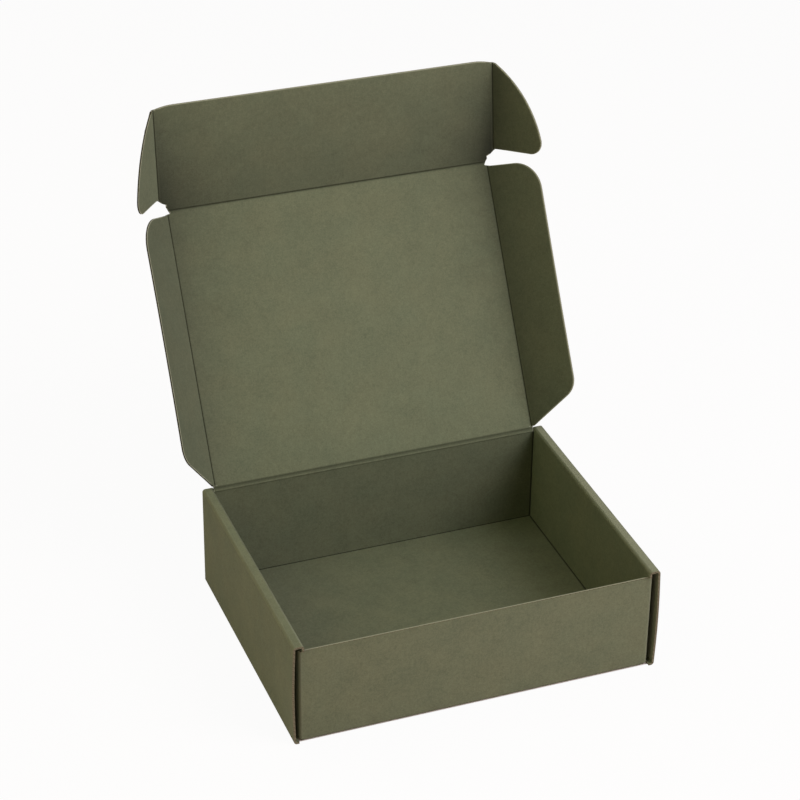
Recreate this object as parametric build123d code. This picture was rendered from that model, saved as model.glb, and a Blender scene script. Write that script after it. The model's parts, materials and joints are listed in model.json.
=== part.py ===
# Folding gift box: a roll-end mailer that folds up from one die-cut sheet of board.
# Lengths are in millimetres and angles in degrees. X runs to the right, Y to the back and Z up.
# The origin is the middle of the tray's underside.
# The sheet is one piece. It is split into solids only at the creases that move when the box is used:
# the tray, the lid with its two wings, and the front flap with its two ears.
import math
import os

from build123d import *

# Sheet
board = 1.4
fold_inner = 0.6
layer_gap = 0.2
crease_gap = 0.3

# Tray, outside sizes
box_width = 240.0
box_depth = 184.0
box_height = 72.0

# Side walls: outer panel, slot for the ear, corner flap, inner panel
ear_slot = 2.6
corner_flap_length = 55.0
corner_flap_slant = 14.0
tab_width = 26.0
tab_count = 2
tab_clearance = 0.3

# Front wall
flap_clearance = 0.3
front_wall_drop = 5.0
roll_lip_clearance = 0.6

# Lid and wings
lid_side_clearance = 0.4
wing_reach = 39.0
wing_root_gap = 0.6
wing_hinge_end = 1.6
wing_slant_angle = 60.0
wing_hinge_radius = 14.0
wing_front_clearance = 0.8
wing_front_taper = 3.0
wing_front_radius = 20.0

# Front flap and ears
floor_clearance = 0.4
flap_corner_length = 14.0
flap_corner_drop = 2.4
ear_side_clearance = 0.2
ear_start = 8.7
ear_reach = 40.0
ear_edge_slant = 2.0
ear_tip_radius = 9.0
ear_arc_radius = 76.0
ear_end_width = 1.2

# Angles at rest, measured from the closed lid and from a flat, unfolded crease
lid_open_angle = 120.5
flap_fold_angle = 24.6
wing_fold_angle = 52.0
ear_fold_angle = 56.0

# Worked out from the sizes above
half_board = board / 2
fold_outer = board + fold_inner
fold_middle = fold_inner + half_board
half_width = box_width / 2
front_edge = -box_depth / 2
back_face = box_depth / 2
roll_width = 3 * board + ear_slot + layer_gap
roll_inner_face = half_width - roll_width
front_face = front_edge + board + flap_clearance
front_inside = front_face + board
front_top = box_height - front_wall_drop
back_inside = back_face - board
floor_top = board
top_under = box_height - board
hinge_height = box_height - half_board
hinge_back = back_face - half_board
lid_length = hinge_back - front_edge - half_board
lid_half_width = roll_inner_face - lid_side_clearance - half_board
ear_plane = half_width - board - ear_slot + ear_side_clearance + half_board
flap_length = hinge_height - floor_clearance
crease_root = half_board + crease_gap


def folded_strip(points, plane, start, end):
    """A strip of board, one sheet thick, bent at each point of its middle line and as long as end - start."""
    middle_line = FilletPolyline(*points, radius=fold_middle)
    section = trace(middle_line, line_width=board)
    return extrude(plane.offset(start) * section, amount=end - start)


def side_wall():
    """The right side wall: up from the base, over the flat roll, and down inside to the base.

    Over the front wall the roll's inside ends in a short lip. At the back it ends flat, against the back wall.
    """
    outer_x = half_width - half_board
    inner_x = roll_inner_face + half_board
    top_z = box_height - half_board
    base_point = (half_width - fold_outer - board, half_board)
    outer_points = [base_point, (outer_x, half_board), (outer_x, top_z)]
    whole_path = outer_points + [(inner_x, top_z), (inner_x, floor_top + layer_gap)]
    front_path = outer_points + [(inner_x, top_z), (inner_x, front_top + roll_lip_clearance)]
    back_path = outer_points + [(roll_inner_face, top_z)]
    inner_front = front_inside + layer_gap
    inner_back = back_inside - layer_gap
    along = Plane(origin=(0, 0, 0), x_dir=(1, 0, 0), z_dir=(0, -1, 0))
    wall = folded_strip(whole_path, along, -inner_back, -inner_front)
    wall += folded_strip(front_path, along, -inner_front, -front_edge)
    wall += folded_strip(back_path, along, -back_face, -inner_back)
    for centre_y in tab_centres():
        tab_middle = (inner_x, centre_y, (floor_top + fold_inner) / 2)
        wall += Pos(*tab_middle) * Box(board, tab_width, floor_top + fold_inner)
    return wall


def tab_centres():
    """Where the inner panel's tabs stand along the side wall."""
    pitch = (back_inside - front_inside) / tab_count
    return [front_inside + pitch * (i + 1 / 2) for i in range(tab_count)]


def tab_slots():
    """The holes in the base that the right side's tabs pass through."""
    slot_x = roll_inner_face + half_board
    hole = Box(board + 2 * tab_clearance, tab_width + 2 * tab_clearance, 2 * board)
    return [Pos(slot_x, centre_y, half_board) * hole for centre_y in tab_centres()]


def end_wall(face_y, outward, top_z, corner_x):
    """The front or back wall with its two corner flaps. outward is -1 for the front and 1 for the back."""
    middle_y = face_y - outward * half_board
    start_y = face_y - outward * (fold_outer + board)
    across = Plane(origin=(0, 0, 0), x_dir=(0, 1, 0), z_dir=(1, 0, 0))
    straight = corner_x - fold_middle
    upright = [(start_y, half_board), (middle_y, half_board), (middle_y, top_z)]
    wall = folded_strip(upright, across, -straight, straight)
    flap_bottom = floor_top + layer_gap
    flap_end_y = face_y - outward * corner_flap_length
    corner_path = [(straight - board, middle_y), (corner_x, middle_y), (corner_x, flap_end_y)]
    corner = folded_strip(corner_path, Plane.XY, flap_bottom, top_z)
    corner -= corner_flap_cut(corner_x, flap_end_y, outward, flap_bottom, -1)
    corner -= corner_flap_cut(corner_x, flap_end_y, outward, top_z, 1)
    wall += corner
    wall += mirror(corner, about=Plane.YZ)
    return wall


def corner_flap_cut(corner_x, end_y, outward, edge_z, upward):
    """The wedge that slants a corner flap's free end, at its top for upward 1 or its bottom for -1."""
    slant_z = edge_z - upward * corner_flap_slant
    slant_y = end_y + outward * corner_flap_slant / 2
    wedge = make_face(Polyline((end_y, slant_z), (slant_y, edge_z), (end_y, edge_z), close=True))
    across = Plane(origin=(corner_x - board, 0, 0), x_dir=(0, 1, 0), z_dir=(1, 0, 0))
    return extrude(across * wedge, amount=2 * board)


def make_tray():
    """Base, four walls, rolled sides, corner flaps and tabs, folded from one sheet."""
    base_front = front_face + fold_outer
    base_back = back_face - fold_outer
    base_size = (2 * (half_width - fold_outer), base_back - base_front, board)
    tray = Pos(0, (base_front + base_back) / 2, half_board) * Box(*base_size)
    for slot in tab_slots():
        tray -= slot
        tray -= mirror(slot, about=Plane.YZ)
    wall = side_wall()
    tray += wall
    tray += mirror(wall, about=Plane.YZ)
    front_corner_x = half_width - board - ear_slot - half_board
    tray += end_wall(front_face, -1, front_top, front_corner_x)
    back_corner_x = half_width - board - layer_gap - half_board
    tray += end_wall(back_face, 1, top_under - crease_gap, back_corner_x)
    return tray


def turned(direction, normal, angle):
    """A direction turned towards a normal by an angle, both of them unit vectors."""
    return direction * math.cos(math.radians(angle)) + normal * math.sin(math.radians(angle))


def panel_planes():
    """The planes of the lid, front flap, right wing and right ear at rest.

    Each has its origin on the panel's crease and its Z on the inside face. The lid's and flap's Y run
    away from their creases. The wing's and ear's X run away from theirs, and their Y along them.
    """
    across = Vector(1, 0, 0)
    closed_along = Vector(0, -1, 0)
    closed_outside = Vector(0, 0, 1)
    lid_along = turned(closed_along, closed_outside, lid_open_angle)
    lid_inside = across.cross(lid_along)
    lid_origin = Vector(0, hinge_back, hinge_height)
    flap_along = turned(lid_along, lid_inside, flap_fold_angle)
    flap_inside = across.cross(flap_along)
    flap_origin = lid_origin + lid_along * lid_length
    wing_out = turned(across, lid_inside, wing_fold_angle)
    ear_out = turned(across, flap_inside, ear_fold_angle)
    wing_origin = lid_origin + across * lid_half_width
    ear_origin = flap_origin + across * ear_plane
    return {
        "lid": Plane(origin=lid_origin, x_dir=across, z_dir=lid_inside),
        "flap": Plane(origin=flap_origin, x_dir=across, z_dir=flap_inside),
        "wing": Plane(origin=wing_origin, x_dir=wing_out, z_dir=wing_out.cross(lid_along)),
        "ear": Plane(origin=ear_origin, x_dir=ear_out, z_dir=ear_out.cross(flap_along)),
    }


def sheet_panel(outline):
    """A flat panel one sheet thick, with its middle on the plane of the outline."""
    return extrude(make_face(outline), amount=half_board, both=True)


def crease_bead(centre, along, length):
    """The round of board along a crease, on the crease's axis. along is the X or Y axis of the panel."""
    turn = (0, 90, 0) if along == "X" else (90, 0, 0)
    return Pos(*centre) * Rotation(*turn) * Cylinder(half_board, length)


def make_lid():
    """The lid's flat panel, with a bead along the hinge, the flap's crease and both wings' creases."""
    lid = Pos(0, lid_length / 2, 0) * Box(2 * lid_half_width, lid_length, board)
    for crease_y in (0, lid_length):
        lid += crease_bead((0, crease_y, 0), "X", 2 * lid_half_width)
    for side in (-1, 1):
        lid += crease_bead((side * lid_half_width, lid_length / 2, 0), "Y", lid_length)
    return lid


def make_wing():
    """The right wing: slanted towards the hinge, round towards the front, along the lid's side edge."""
    root_x = half_board + wing_root_gap + half_board
    front_limit = hinge_back - front_inside - wing_front_clearance
    slant_rise = (wing_reach - root_x) / math.tan(math.radians(wing_slant_angle))
    points = [
        (root_x, wing_hinge_end),
        (wing_reach, wing_hinge_end + slant_rise),
        (wing_reach, front_limit - wing_front_taper),
        (root_x, front_limit),
    ]
    radii = [0, wing_hinge_radius, wing_front_radius, 0]
    outline = FilletPolyline(*points, radius=radii, close=True)
    root_length = front_limit - wing_hinge_end
    root_middle = (root_x, wing_hinge_end + root_length / 2, 0)
    return sheet_panel(outline) + crease_bead(root_middle, "Y", root_length)


def make_flap():
    """The front flap: its free edge drops a little at the corners, and its shoulders clear the rolls' lips."""
    corner_x = ear_plane - flap_corner_length
    lip_bottom = hinge_height - front_top - roll_lip_clearance
    shoulder_start = lip_bottom + flap_clearance
    shoulder_end = ear_start - ear_edge_slant
    narrow = lid_half_width
    edge_y = flap_length - flap_corner_drop
    shoulder = [(narrow, crease_root), (narrow, shoulder_start), (ear_plane, shoulder_end)]
    right_side = Polyline((0, crease_root), *shoulder, (ear_plane, edge_y))
    corner = TangentArc((corner_x, flap_length), (ear_plane, edge_y), tangent=(1, 0))
    free_edge = Line((0, flap_length), (corner_x, flap_length))
    middle = Line((0, flap_length), (0, crease_root))
    half = sheet_panel(Wire([*right_side.edges(), *corner.edges(), *free_edge.edges(), *middle.edges()]))
    bead_length = edge_y - shoulder_end
    half += crease_bead((ear_plane, shoulder_end + bead_length / 2, 0), "Y", bead_length)
    return half + mirror(half, about=Plane.YZ)


def make_ear():
    """The right ear: a quarter round, widest near the lid's crease, that slides into the corner slot."""
    end_y = flap_length - flap_corner_drop
    root_start = (crease_root, ear_start)
    tip = (ear_reach, ear_start + ear_edge_slant)
    root_end = (crease_root, end_y)
    narrow_end = (crease_root + ear_end_width, end_y)
    lower_edge = Polyline(root_end, root_start, tip)
    arc = RadiusArc(tip, narrow_end, -ear_arc_radius)
    top_edge = Line(narrow_end, root_end)
    face = make_face(Wire([*lower_edge.edges(), *arc.edges(), *top_edge.edges()]))
    tip_corner = face.vertices().sort_by_distance(tip)[0]
    return extrude(fillet(tip_corner, ear_tip_radius), amount=half_board, both=True)


def main():
    """Builds every solid at its place in the open box and writes its file."""
    planes = panel_planes()
    right_wing = planes["wing"].location * make_wing()
    right_ear = planes["ear"].location * make_ear()
    solids = {
        "tray": make_tray(),
        "lid_panel": planes["lid"].location * make_lid(),
        "left_wing": mirror(right_wing, about=Plane.YZ),
        "right_wing": right_wing,
        "front_flap": planes["flap"].location * make_flap(),
        "left_ear": mirror(right_ear, about=Plane.YZ),
        "right_ear": right_ear,
    }
    os.makedirs("parts", exist_ok=True)
    for name, solid in solids.items():
        export_step(solid, f"parts/{name}.step")


main()
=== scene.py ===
"""Folding gift box: the looks of a roll-end mailer of matte olive board that stands open.

The whole box is one die-cut sheet, so every piece here is a stretch of that sheet: flat panels that end at
cut edges or creases, folded walls, and the crease strips that bend where the box moves.
Lengths are in metres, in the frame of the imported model: X right, Y back, Z up.
"""
import json
import logging
import math
from dataclasses import dataclass, field
from enum import Enum

import bmesh
import bpy
from mathutils import Matrix, Vector
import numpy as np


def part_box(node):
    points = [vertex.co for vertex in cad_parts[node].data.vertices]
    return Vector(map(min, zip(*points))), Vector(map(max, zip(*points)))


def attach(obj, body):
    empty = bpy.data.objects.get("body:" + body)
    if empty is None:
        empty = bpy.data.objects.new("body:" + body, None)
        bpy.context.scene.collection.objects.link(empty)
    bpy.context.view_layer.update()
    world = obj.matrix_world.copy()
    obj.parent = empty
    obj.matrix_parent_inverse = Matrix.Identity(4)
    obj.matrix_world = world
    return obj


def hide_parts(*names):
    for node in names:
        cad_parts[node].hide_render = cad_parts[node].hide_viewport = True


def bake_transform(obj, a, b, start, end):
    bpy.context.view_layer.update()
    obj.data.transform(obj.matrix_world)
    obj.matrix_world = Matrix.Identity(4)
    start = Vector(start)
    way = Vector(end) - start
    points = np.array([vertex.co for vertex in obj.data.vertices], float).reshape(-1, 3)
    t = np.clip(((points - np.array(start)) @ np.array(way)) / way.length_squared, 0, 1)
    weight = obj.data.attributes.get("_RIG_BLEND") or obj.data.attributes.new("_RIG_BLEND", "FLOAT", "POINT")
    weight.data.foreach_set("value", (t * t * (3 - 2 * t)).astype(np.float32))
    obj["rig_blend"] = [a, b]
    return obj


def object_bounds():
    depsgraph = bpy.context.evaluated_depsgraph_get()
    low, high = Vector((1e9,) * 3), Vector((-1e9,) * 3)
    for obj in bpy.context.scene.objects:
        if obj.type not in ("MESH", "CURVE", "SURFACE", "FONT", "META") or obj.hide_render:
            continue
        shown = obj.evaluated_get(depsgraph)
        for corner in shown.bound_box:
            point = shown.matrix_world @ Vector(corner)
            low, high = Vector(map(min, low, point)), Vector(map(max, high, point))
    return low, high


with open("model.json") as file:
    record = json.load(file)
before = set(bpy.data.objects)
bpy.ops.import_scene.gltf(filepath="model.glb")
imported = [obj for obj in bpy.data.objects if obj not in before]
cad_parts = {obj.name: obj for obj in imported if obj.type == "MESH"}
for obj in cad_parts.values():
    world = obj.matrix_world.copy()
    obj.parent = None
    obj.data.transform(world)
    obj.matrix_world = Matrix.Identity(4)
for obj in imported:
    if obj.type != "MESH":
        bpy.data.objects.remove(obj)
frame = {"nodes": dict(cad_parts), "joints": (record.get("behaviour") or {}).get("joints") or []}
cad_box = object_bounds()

Socket = bpy.types.NodeSocket
Colour = tuple[float, float, float, float]

log = logging.getLogger("gift_box")
MM = 0.001
ACROSS = Vector((1, 0, 0))
FRONT = Vector((0, -1, 0))
UP = Vector((0, 0, 1))
FLUTE_MAP = "flutes"
# The sheet's vertex maps. score: painted shade in the creases' grooves and the tray's inner folds and
# corners. wear: rubbed ink on cut edges and folds, and painted highlights on the tray's folds and right roll.
# ink: painted light and shade, the colour made lighter or darker by place.
WEAR_AND_HIGHLIGHT = "wear"
PAINTED_SHADE = "score"
PAINTED_LIGHT_AND_SHADE = "ink"
SHARP_ANGLE = math.radians(50)
WHITE = "#FFFFFF"
# Parts of a cut edge's depth that the flaps' edges show: the left flaps mostly the dark painted shade band,
# the right ones only the pale part, as painted shade and painted light by side.
SHADED_EDGE_SHARES = (0.0, 0.6)
LIT_EDGE_SHARES = (0.55, 1.0)
CREASE_REACH = 2.1 * MM
BOARD_SPECULAR = 0.3
BOARD_REFRACTION = 1.45

# How close points have to be to count as one, as on a line, and as in a plane.
MERGE_DISTANCE = 0.002 * MM
LINE_DISTANCE = 0.01 * MM
PLANE_DISTANCE = 0.05 * MM

# A face looks mostly, squarely or exactly along an axis where its normal's share there is above this.
MOSTLY = 0.7
SQUARELY = 0.9
EXACTLY = 0.9999

# A place along a crease strip counts as its very end above this share.
STRIP_END = 0.999


class Face(Enum):
    """Which finish a face of the sheet shows. The value is its material index."""

    LINER = 0
    CUT_EDGE = 1


class Side(Enum):
    """The left or right half of the box. The value is the sign of X there."""

    LEFT = -1
    RIGHT = 1

    @property
    def word(self) -> str:
        """The side's name as it stands in the names of nodes, joints and bodies."""
        return self.name.lower()


@dataclass(frozen=True)
class Sheet:
    """The fine-fluted board that the box is cut from.

    Attributes:
        thickness: Over both liners.
        flute_pitch: From crest to crest of the fluted middle layer.
        rim: Width of the band along a cut edge that the cutting die presses down.
        rim_root: Width of the flat band beside it that keeps the rest of the panel's shading flat.
        rim_drop: How far the liner is pressed down at the very edge.
        cell: Size of the cells that let a panel bow.
    """

    thickness: float = 1.4 * MM
    flute_pitch: float = 3.2 * MM
    rim: float = 0.8 * MM
    rim_root: float = 0.4 * MM
    rim_drop: float = 0.22 * MM
    cell: float = 9.0 * MM

    @property
    def half(self) -> float:
        """Half the thickness."""
        return self.thickness / 2


SHEET = Sheet()


def turned(start: Vector, towards: Vector, degrees: float) -> Vector:
    """Turns a direction by an angle towards another one that is square to it."""
    angle = math.radians(degrees)
    return start * math.cos(angle) + towards * math.sin(angle)


def bell(place: float, centre: float, width: float) -> float:
    """A smooth bump: 1 at its centre, and about a third at its width from there."""
    return math.exp(-(((place - centre) / width) ** 2))


def linear(colour: str) -> Colour:
    """Turns an sRGB hex colour into the linear colour that a shader takes.

    Args:
        colour: Such as "#6B6B54".

    Returns:
        Red, green, blue and an alpha of 1.
    """
    shares = [int(colour[i : i + 2], 16) / 255 for i in (1, 3, 5)]
    channels = [c / 12.92 if c <= 0.04045 else ((c + 0.055) / 1.055) ** 2.4 for c in shares]
    return (*channels, 1.0)


def add_node(
    tree: bpy.types.NodeTree, kind: str, inputs: dict | None = None, **settings: str
) -> bpy.types.Node:
    """Adds a shader node with its settings and links.

    Args:
        tree: The material's or world's node tree.
        kind: The node's type without the ShaderNode in front.
        inputs: An input's name or number, and the socket that feeds it or the value that it holds.
        settings: The node's own settings, such as operation="MULTIPLY".

    Returns:
        The new node.
    """
    node = tree.nodes.new("ShaderNode" + kind)
    for name, value in settings.items():
        setattr(node, name, value)
    for key, value in (inputs or {}).items():
        if isinstance(value, Socket):
            tree.links.new(value, node.inputs[key])
        else:
            node.inputs[key].default_value = value
    return node


def math_node(tree: bpy.types.NodeTree, operation: str, *values: Socket | float) -> Socket:
    """Adds a Math node and returns its result.

    Args:
        tree: The material's node tree.
        operation: Such as "MULTIPLY".
        values: Sockets or numbers, in the order of the node's inputs.

    Returns:
        The socket with the result.
    """
    return add_node(tree, "Math", dict(enumerate(values)), operation=operation).outputs[0]


def blend_colours(
    tree: bpy.types.NodeTree, factor: Socket, first: Socket | Colour, second: Colour
) -> Socket:
    """Mixes two colours by a factor.

    Args:
        tree: The material's node tree.
        factor: 0 gives the first colour and 1 the second.
        first: The colour at 0.
        second: The colour at 1.

    Returns:
        The socket with the mixed colour.
    """
    return add_node(tree, "Mix", {0: factor, 6: first, 7: second}, data_type="RGBA").outputs[2]


def smooth_step(
    tree: bpy.types.NodeTree, value: Socket, ends: tuple[float, float], results: tuple[float, float]
) -> Socket:
    """Maps a value softly from one range to another.

    Args:
        tree: The material's node tree.
        value: The value's socket.
        ends: Where the step starts and ends.
        results: What it gives there.

    Returns:
        The socket with the result.
    """
    inputs = dict(enumerate((value, *ends, *results)))
    return add_node(tree, "MapRange", inputs, interpolation_type="SMOOTHSTEP").outputs[0]


def vertex_map(tree: bpy.types.NodeTree, name: str) -> Socket:
    """Reads one of the sheet's maps by its name."""
    return add_node(tree, "Attribute", attribute_name=name).outputs["Fac"]


def flute_wave(tree: bpy.types.NodeTree) -> tuple[Socket, Socket]:
    """Reads the fluted layer's place from the sheet's own map.

    Args:
        tree: The material's node tree.

    Returns:
        The layer's wave, from -1 to 1, and how deep in the sheet the point lies.
    """
    flutes = add_node(tree, "UVMap", uv_map=FLUTE_MAP).outputs[0]
    place = add_node(tree, "SeparateXYZ", {0: flutes}).outputs
    return math_node(tree, "SINE", math_node(tree, "MULTIPLY", place[0], 2 * math.pi)), place[1]


def new_material(name: str) -> tuple[bpy.types.Material, bpy.types.NodeTree]:
    """Makes an empty node material.

    Args:
        name: The finish's plain name.

    Returns:
        The material and its node tree.
    """
    material = bpy.data.materials.new(name)
    material.use_nodes = True
    material.node_tree.nodes.clear()
    return material, material.node_tree


@dataclass(frozen=True)
class LinerFinish:
    """Uncoated kraft liner under a full matte ink: soft olive with fine paper grain and faint clouding.

    The ink soaks in unevenly, which gives the eye large soft patches that lean green or brown, and the
    paper's fibres give a grain of under a millimetre. On top of these lie painted light and shade: the colour
    is painted lighter in the middle of a panel and on parts of the tray, darker along the creases, and dark
    in the creases' grooves and the tray's inner folds and corners. The rubbed ink's colour also serves as a
    painted highlight on the tray's folds and right roll.

    Attributes:
        name: The finish's name.
        ink_green: The ink's colour where it leans green.
        ink_brown: Its colour where it leans brown.
        ink_rubbed: The colour where the ink is rubbed off, which also serves as a painted highlight on the
            tray's folds and right roll.
        ink_pressed: The colour of the painted shade in the creases' grooves and the tray's inner folds and
            corners.
        cloud: Size of the green and brown patches.
        cloud_ends: The noise at which a patch is all green, and at which it is all brown.
        cloud_detail: How many finer layers the patches' noise has.
        paper_layers: For each layer of the grain, its spots' size and how much they change the colour.
        mottle_layers: The same for the ink's mottling.
        spot_detail: How many finer layers the noise of such spots has.
        rubbed_ends: The wear map's value at which the rubbed colour starts, and at which it is most.
        rubbed_most: How much of the rubbed colour shows then.
        roughness: How matte the surface is.
        grain_height: Height of the paper's grain.
        grain_strength: How much of it shows.
        ripple_height: Height of the ripple that the flutes give the liner.
        ripple_strength: How much of it shows.
    """

    name: str = "matte_printed_kraft_liner"
    ink_green: str = "#696C56"
    ink_brown: str = "#6D6E57"
    ink_rubbed: str = "#9E9D87"
    ink_pressed: str = "#2E2F20"
    cloud: float = 24.0 * MM
    cloud_ends: tuple[float, float] = (0.3, 0.7)
    cloud_detail: float = 2.0
    paper_layers: tuple[tuple[float, float], ...] = ((0.9 * MM, 0.55), (2.6 * MM, 0.3))
    mottle_layers: tuple[tuple[float, float], ...] = ((9.0 * MM, 0.17), (22.0 * MM, 0.2))
    spot_detail: float = 3.0
    rubbed_ends: tuple[float, float] = (0.1, 0.6)
    rubbed_most: float = 0.95
    roughness: float = 0.86
    grain_height: float = 0.035 * MM
    grain_strength: float = 0.8
    ripple_height: float = 0.012 * MM
    ripple_strength: float = 0.5

    def material(self) -> bpy.types.Material:
        """Builds the finish.

        Returns:
            The material.
        """
        material, tree = new_material(self.name)
        place = add_node(tree, "TexCoord").outputs["Object"]
        clouds = self.noise(tree, place, self.cloud, self.cloud_detail)
        cloud_range = dict(enumerate((clouds, *self.cloud_ends)))
        toned = add_node(tree, "MapRange", cloud_range).outputs[0]
        tone = blend_colours(tree, toned, linear(self.ink_green), linear(self.ink_brown))
        paper = self.layers(tree, place, self.paper_layers)
        mottle = self.layers(tree, place, self.mottle_layers)
        grain = math_node(tree, "ADD", math_node(tree, "ADD", paper, mottle), 1.0)
        # Painted light and shade: the ink map makes the colour lighter or darker by place.
        light_gain = math_node(tree, "ADD", vertex_map(tree, PAINTED_LIGHT_AND_SHADE), 1.0)
        shade = math_node(tree, "MULTIPLY", grain, light_gain)
        inked = add_node(tree, "VectorMath", {0: tone, "Scale": shade}, operation="SCALE").outputs[0]
        # The rubbed colour: rubbed ink on cut edges and folds, and painted highlights on the tray's folds and
        # right roll.
        rubbed = smooth_step(tree, vertex_map(tree, WEAR_AND_HIGHLIGHT), self.rubbed_ends, (0.0, self.rubbed_most))
        edged = blend_colours(tree, rubbed, inked, linear(self.ink_rubbed))
        # Painted shade: dark colour in the creases' grooves and the tray's inner folds and corners.
        colour = blend_colours(tree, vertex_map(tree, PAINTED_SHADE), edged, linear(self.ink_pressed))
        ripple, _ = flute_wave(tree)
        washboard = bumped(tree, ripple, self.ripple_height, self.ripple_strength)
        surface = bumped(tree, paper, self.grain_height, self.grain_strength, Normal=washboard)
        add_surface(tree, colour, self.roughness, surface)
        return material

    @staticmethod
    def noise(tree: bpy.types.NodeTree, place: Socket, size: float, detail: float) -> Socket:
        """Adds noise with spots of a size, from 0 to 1."""
        inputs = {"Vector": place, "Scale": 1 / size, "Detail": detail}
        return add_node(tree, "TexNoise", inputs).outputs[0]

    def layers(
        self, tree: bpy.types.NodeTree, place: Socket, layers: tuple[tuple[float, float], ...]
    ) -> Socket:
        """Adds up layers of spots.

        Args:
            tree: The material's node tree.
            place: The point of the surface.
            layers: Each layer's size of spots and its strength.

        Returns:
            The sum, which is around 0.
        """
        total = 0.0
        for size, strength in layers:
            spots = self.noise(tree, place, size, self.spot_detail)
            centred = math_node(tree, "SUBTRACT", spots, 0.5)
            total = math_node(tree, "MULTIPLY_ADD", centred, strength, total)
        return total


def bumped(
    tree: bpy.types.NodeTree, height: Socket, distance: float, strength: float, **base: Socket
) -> Socket:
    """Adds a bump to a surface.

    Args:
        tree: The material's node tree.
        height: The height's socket.
        distance: How high a height of 1 stands.
        strength: How much of the bump shows.
        base: Normal, the bumped normal that this bump is added to, if there is one.

    Returns:
        The bumped normal.
    """
    inputs = {"Height": height, "Distance": distance, "Strength": strength, **base}
    return add_node(tree, "Bump", inputs).outputs[0]


def add_surface(tree: bpy.types.NodeTree, colour: Socket, roughness: float, normal: Socket) -> None:
    """Ends a board finish in its shader.

    Args:
        tree: The material's node tree.
        colour: The base colour's socket.
        roughness: How matte the surface is.
        normal: The bumped normal.
    """
    inputs = {"Base Color": colour, "Roughness": roughness, "Normal": normal}
    gloss = {"Specular IOR Level": BOARD_SPECULAR, "IOR": BOARD_REFRACTION}
    shader = add_node(tree, "BsdfPrincipled", inputs | gloss)
    add_node(tree, "OutputMaterial", {"Surface": shader.outputs[0]})


@dataclass(frozen=True)
class CutEdgeFinish:
    """Die-cut edge of fluted board: two thin liners with the wavy kraft middle layer between them.

    The outer part of the edge is painted dark, as painted shade, and the frayed inside liner shows a pale
    line.
    The hollows beside the waved middle layer are painted darker, as painted shade. The waves are a few pixels
    long in a picture of the whole box, so they show as faint dashes. Shares are of the sheet's thickness.

    Attributes:
        name: The finish's name.
        outside_liner: Painted shade: the dark colour painted on the edge's outer part.
        inside_liner: Colour of the frayed inside liner.
        middle: Colour of the waved middle layer.
        hollow: Painted shade: the darker colour of the hollows beside it.
        outside_share: How far in the painted dark colour reaches.
        inside_share: How far in the inside liner's reaches.
        wave_share: How far the middle layer swings to either side.
        wave_half_width: Half the middle layer's width, beyond which it fades out over as much again.
        roughness: How matte the edge is.
        depth: How deep its hollows are.
        depth_strength: How much of that shows.
    """

    name: str = "die_cut_fluted_edge"
    outside_liner: str = "#3A3626"
    inside_liner: str = "#9B9984"
    middle: str = "#807763"
    hollow: str = "#6A604D"
    outside_share: float = 0.5
    inside_share: float = 0.3
    wave_share: float = 0.3
    wave_half_width: float = 0.13
    roughness: float = 0.92
    depth: float = 0.12 * MM
    depth_strength: float = 0.6

    def material(self) -> bpy.types.Material:
        """Builds the finish.

        Returns:
            The material.
        """
        material, tree = new_material(self.name)
        turn, depth = flute_wave(tree)
        crest = math_node(tree, "MULTIPLY_ADD", turn, self.wave_share, 0.5)
        off_wave = math_node(tree, "ABSOLUTE", math_node(tree, "SUBTRACT", depth, crest))
        wave_ends = (self.wave_half_width, self.wave_half_width * 2)
        wave = smooth_step(tree, off_wave, wave_ends, (1.0, 0.0))
        outside = math_node(tree, "LESS_THAN", depth, self.outside_share)
        inside = math_node(tree, "GREATER_THAN", depth, 1 - self.inside_share)
        # Painted shade in the hollows and on the edge's outer part.
        core = blend_colours(tree, wave, linear(self.hollow), linear(self.middle))
        darkened = blend_colours(tree, outside, core, linear(self.outside_liner))
        colour = blend_colours(tree, inside, darkened, linear(self.inside_liner))
        solid = math_node(tree, "MAXIMUM", wave, math_node(tree, "MAXIMUM", outside, inside))
        surface = bumped(tree, solid, self.depth, self.depth_strength)
        add_surface(tree, colour, self.roughness, surface)
        return material


@dataclass(frozen=True)
class Board:
    """The two finishes that every stretch of the sheet carries, in the order of Face.

    Attributes:
        liner: The finish of the sheet's two faces.
        cut_edge: The finish of its cut edges.
    """

    liner: bpy.types.Material
    cut_edge: bpy.types.Material

    def cover(self, bm: bmesh.types.BMesh, name: str, slot: str) -> bpy.types.Object:
        """Turns a finished bmesh into a piece of the sheet.

        Args:
            bm: The mesh in the box's frame. It is freed.
            name: The piece's name.
            slot: The record's material slot. Not used.

        Returns:
            The piece, with both finishes in the order of its faces' material indices.
        """
        piece = finish_mesh(bm, name)
        for finish in (self.liner, self.cut_edge):
            piece.data.materials.append(finish)
        return piece


def joint(name: str) -> dict:
    """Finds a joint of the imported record.

    Args:
        name: The joint's name.

    Returns:
        The joint's row.
    """
    return next(j for j in frame["joints"] if j["name"] == name)


@dataclass(frozen=True)
class PanelPlane:
    """The plane of a panel at rest.

    Attributes:
        origin: A point on the crease that the panel hangs on.
        across: The panel's first direction in its plane.
        along: The second one, away from the crease or along it.
    """

    origin: Vector
    across: Vector
    along: Vector

    @property
    def inside(self) -> Vector:
        """The direction that the panel's inside face looks in."""
        return self.across.cross(self.along)

    @property
    def matrix(self) -> Matrix:
        """Turns a point of the panel into a point of the box."""
        turn = Matrix((self.across, self.along, self.inside)).transposed()
        return Matrix.Translation(self.origin) @ turn.to_4x4()


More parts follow.
